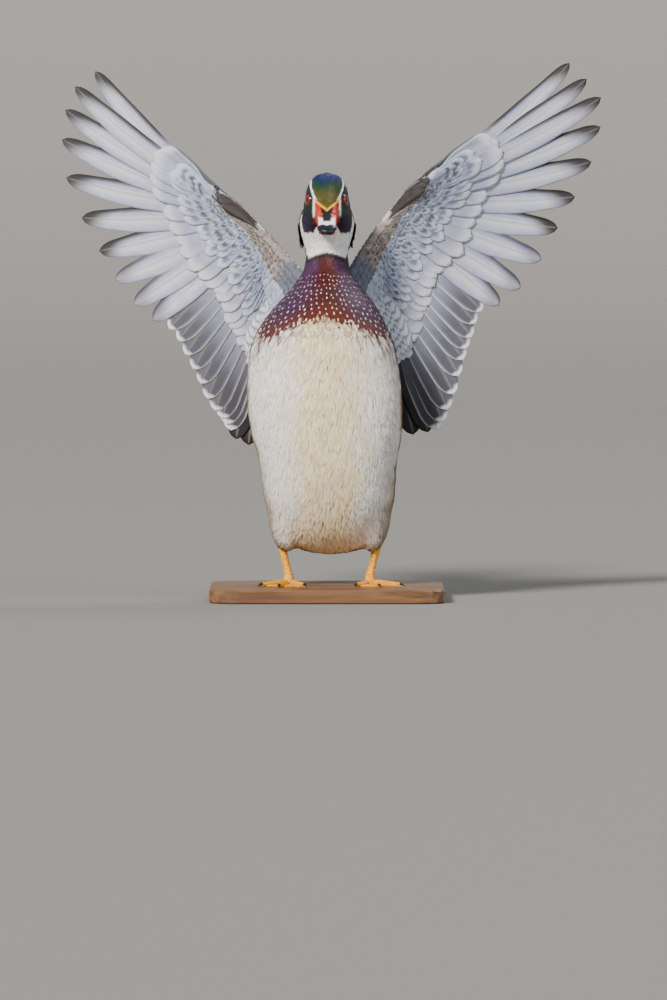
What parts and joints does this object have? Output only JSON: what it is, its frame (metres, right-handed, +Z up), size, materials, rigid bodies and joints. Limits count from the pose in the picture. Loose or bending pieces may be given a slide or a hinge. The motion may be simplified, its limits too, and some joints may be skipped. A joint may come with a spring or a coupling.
{
  "type": "wood duck model",
  "caption": "Life-size male wood duck, reared upright with its wings raised and spread, standing on a plain flat base.",
  "frame": {"origin": "centre of the underside of the stand's base", "axes": "+Z up, the bird faces -Y, its left wing is on the +X side"},
  "size_m": [0.4689, 0.2438, 0.4606],
  "materials": {
    "head_feathers": "glossy green feathers",
    "breast_feathers": "chestnut feathers",
    "body_feathers": "soft cream feathers",
    "tail_feathers": "black feathers with a green gloss",
    "wing_feathers": "silvery grey feathers",
    "bill_horn": "satin horn",
    "eye": "wet gloss",
    "leg_skin": "scaly skin",
    "base_wood": "satin oiled wood"
  },
  "bodies": {
    "root": {"head": "head_feathers", "neck": "breast_feathers", "torso": "body_feathers", "tail": "tail_feathers", "wing_right": "wing_feathers", "wing_left": "wing_feathers", "bill_upper": "bill_horn", "bill_lower": "bill_horn", "eye_right": "eye", "eye_left": "eye", "leg_right": "leg_skin", "leg_left": "leg_skin", "foot_right": "leg_skin", "foot_left": "leg_skin", "stand_base": "base_wood"}
  },
  "joints": []
}
